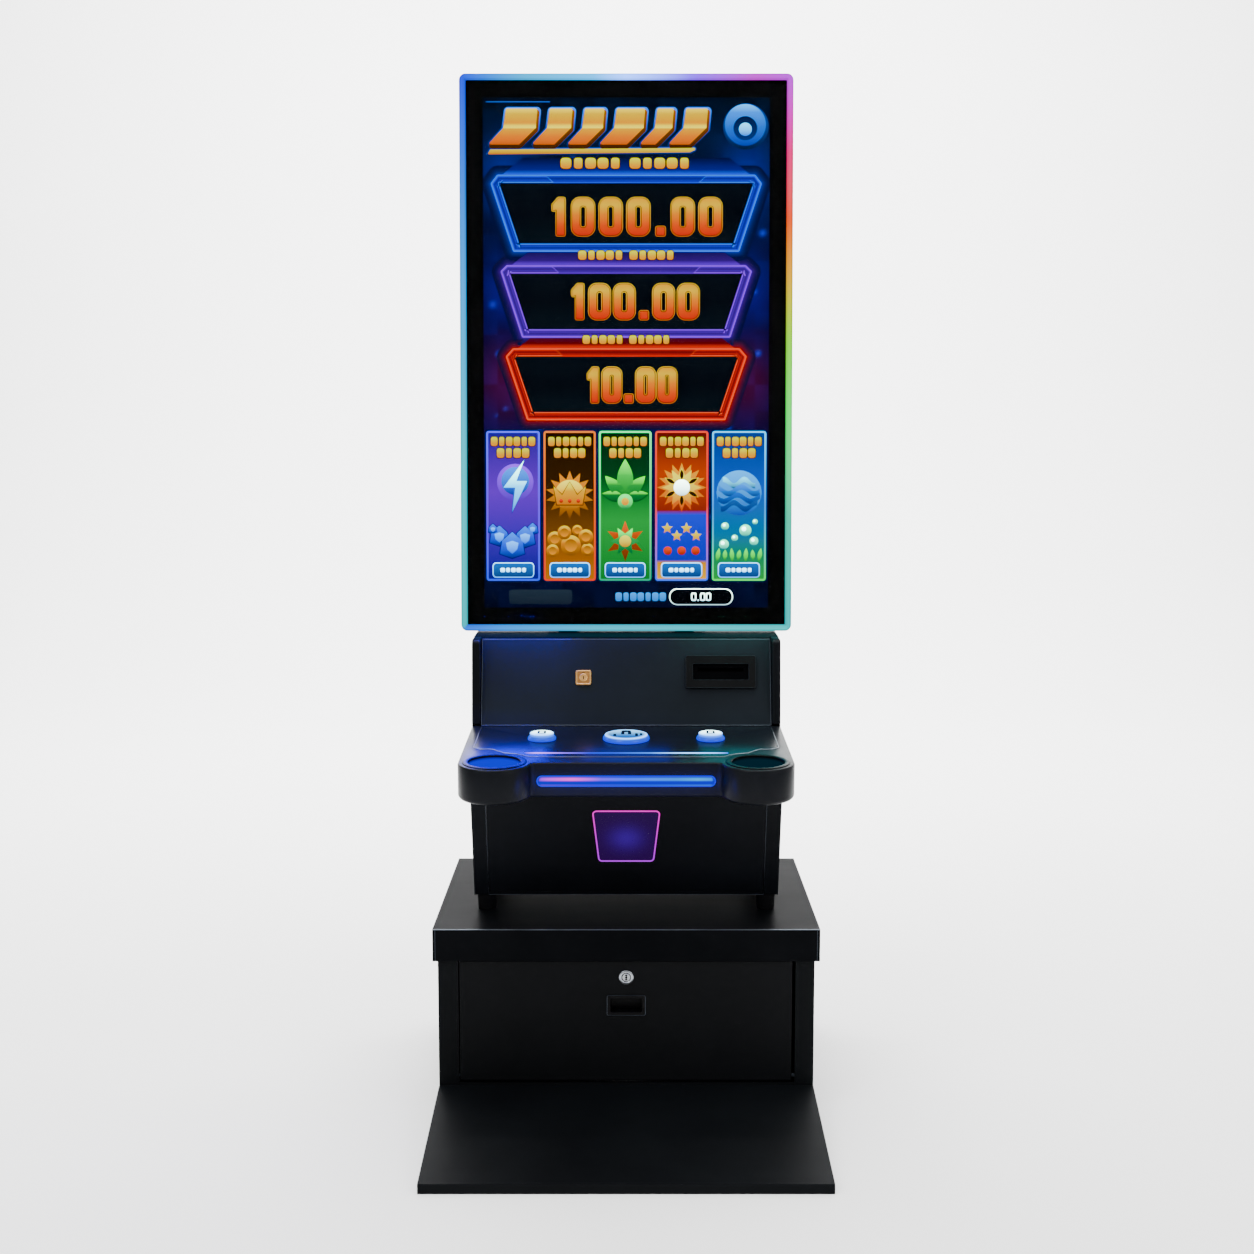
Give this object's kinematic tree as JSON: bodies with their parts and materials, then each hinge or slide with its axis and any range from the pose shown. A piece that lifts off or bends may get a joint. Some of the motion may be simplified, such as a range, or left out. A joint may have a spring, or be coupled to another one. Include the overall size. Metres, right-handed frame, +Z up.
{
  "type": "video skill game terminal",
  "caption": "Portrait video prize-game terminal: lit screen on a compact cabinet with button deck and cup holders, standing on a steel pedestal with a footrest.",
  "frame": {"origin": "on the floor, at the middle of the whole footprint", "axes": "+Z up, +Y to the rear, away from the player, +X to the player's right"},
  "size_m": [0.691, 0.8496, 1.8733],
  "materials": {
    "powder_black": "satin powder coat, fine texture",
    "powder_charcoal": "satin powder coat, dark charcoal",
    "zinc_steel": "bright zinc plate",
    "chrome": "polished",
    "key_metal": "satin nickel",
    "black_abs": "moulded, fine spark texture",
    "grey_steel": "satin grey",
    "foot_rubber": "matte",
    "satin_brass": "satin",
    "violet_lens": "tinted translucent acrylic",
    "pink_light": "lit acrylic edge",
    "light_diffuser": "lit opal acrylic",
    "white_cap": "lit opal acrylic",
    "lcd": "lit display panel",
    "cover_glass": "clear, black printed border",
    "bare_aluminium": "perforated, bare",
    "red_rocker": "translucent red"
  },
  "bodies": {
    "frame": {"stand_body": "powder_black", "stand_lid": "powder_black", "footrest_plate": "powder_black", "cabinet_floor": "powder_black", "left_side": "powder_black", "right_side": "powder_black", "cabinet_back": "powder_black", "cabinet_top": "powder_black", "belly_frame": "powder_black", "belly_panel": "powder_black", "left_cheek": "powder_black", "right_cheek": "powder_black", "deck_shell": "powder_black", "button_panel": "powder_black", "monitor_mast": "powder_black", "upper_panel": "powder_charcoal", "base_bolts": "zinc_steel", "flap_pivots": "zinc_steel", "vesa_bracket": "zinc_steel", "rear_hinges": "zinc_steel", "left_button_ring": "chrome", "centre_button_ring": "chrome", "right_button_ring": "chrome", "bill_bezel": "black_abs", "bill_validator": "black_abs", "left_cup": "black_abs", "right_cup": "black_abs", "button_switches": "black_abs", "monitor_housing": "black_abs", "speaker_pair": "black_abs", "fan_frame": "black_abs", "power_inlet": "black_abs", "cash_box": "grey_steel", "game_computer": "grey_steel", "cabinet_feet": "foot_rubber", "key_plate": "satin_brass", "belly_light_window": "violet_lens", "belly_light_trim": "pink_light", "deck_light": "light_diffuser", "fascia_bezel": "light_diffuser", "fascia_lens": "light_diffuser", "led_frame": "light_diffuser", "screen_panel": "lcd", "screen_glass": "cover_glass", "power_supply": "bare_aluminium"},
    "flap": {"stand_flap": "powder_black", "flap_liner": "zinc_steel", "flap_pull": "black_abs", "flap_lock_barrel": "chrome"},
    "flap_lock": {"flap_lock_core": "key_metal"},
    "left_button": {"left_button_cap": "white_cap"},
    "centre_button": {"centre_button_cap": "white_cap"},
    "right_button": {"right_button_cap": "white_cap"},
    "key": {"key_core": "satin_brass"},
    "fan": {"fan_rotor": "black_abs"},
    "rear_door": {"rear_door": "powder_black", "rear_lock_barrel": "chrome"},
    "rear_lock": {"rear_lock_core": "key_metal"},
    "rocker": {"power_rocker": "red_rocker"}
  },
  "joints": [
    {"name": "flap_hinge", "type": "hinge", "parent": "frame", "child": "flap", "pos_m": [0, -0.07175, 0.064], "axis": [1, 0, 0], "range_deg": [0, 85]},
    {"name": "flap_lock_turn", "type": "hinge", "parent": "flap", "child": "flap_lock", "pos_m": [0, -0.07775, 0.2486], "axis": [0, -1, 0], "range_deg": [0, 90]},
    {"name": "left_button_press", "type": "slide", "parent": "frame", "child": "left_button", "axis": [0, 0.0436, -0.999], "range_m": [0, 0.003], "stiffness_N_per_m": 400, "springref_m": -0.003},
    {"name": "centre_button_press", "type": "slide", "parent": "frame", "child": "centre_button", "axis": [0, 0.0436, -0.999], "range_m": [0, 0.003], "stiffness_N_per_m": 400, "springref_m": -0.003},
    {"name": "right_button_press", "type": "slide", "parent": "frame", "child": "right_button", "axis": [0, 0.0436, -0.999], "range_m": [0, 0.003], "stiffness_N_per_m": 400, "springref_m": -0.003},
    {"name": "key_turn", "type": "hinge", "parent": "frame", "child": "key", "pos_m": [-0.078, 0.04501, 0.77159], "axis": [0, -0.9613, 0.2756], "range_deg": [0, 90]},
    {"name": "fan_spin", "type": "hinge", "parent": "frame", "child": "fan", "pos_m": [-0.17, 0.37775, 0.445], "axis": [0, 1, 0], "continuous": true},
    {"name": "rear_door_hinge", "type": "hinge", "parent": "frame", "child": "rear_door", "pos_m": [-0.252, 0.40525, 0.68], "axis": [0, 0, 1], "range_deg": [0, 110]},
    {"name": "rear_lock_turn", "type": "hinge", "parent": "rear_door", "child": "rear_lock", "pos_m": [0.205, 0.39775, 0.674], "axis": [0, 1, 0], "range_deg": [0, 90]},
    {"name": "rocker_tilt", "type": "hinge", "parent": "frame", "child": "rocker", "pos_m": [0.215, 0.39625, 0.43], "axis": [1, 0, 0], "range_deg": [-16, 0]}
  ]
}
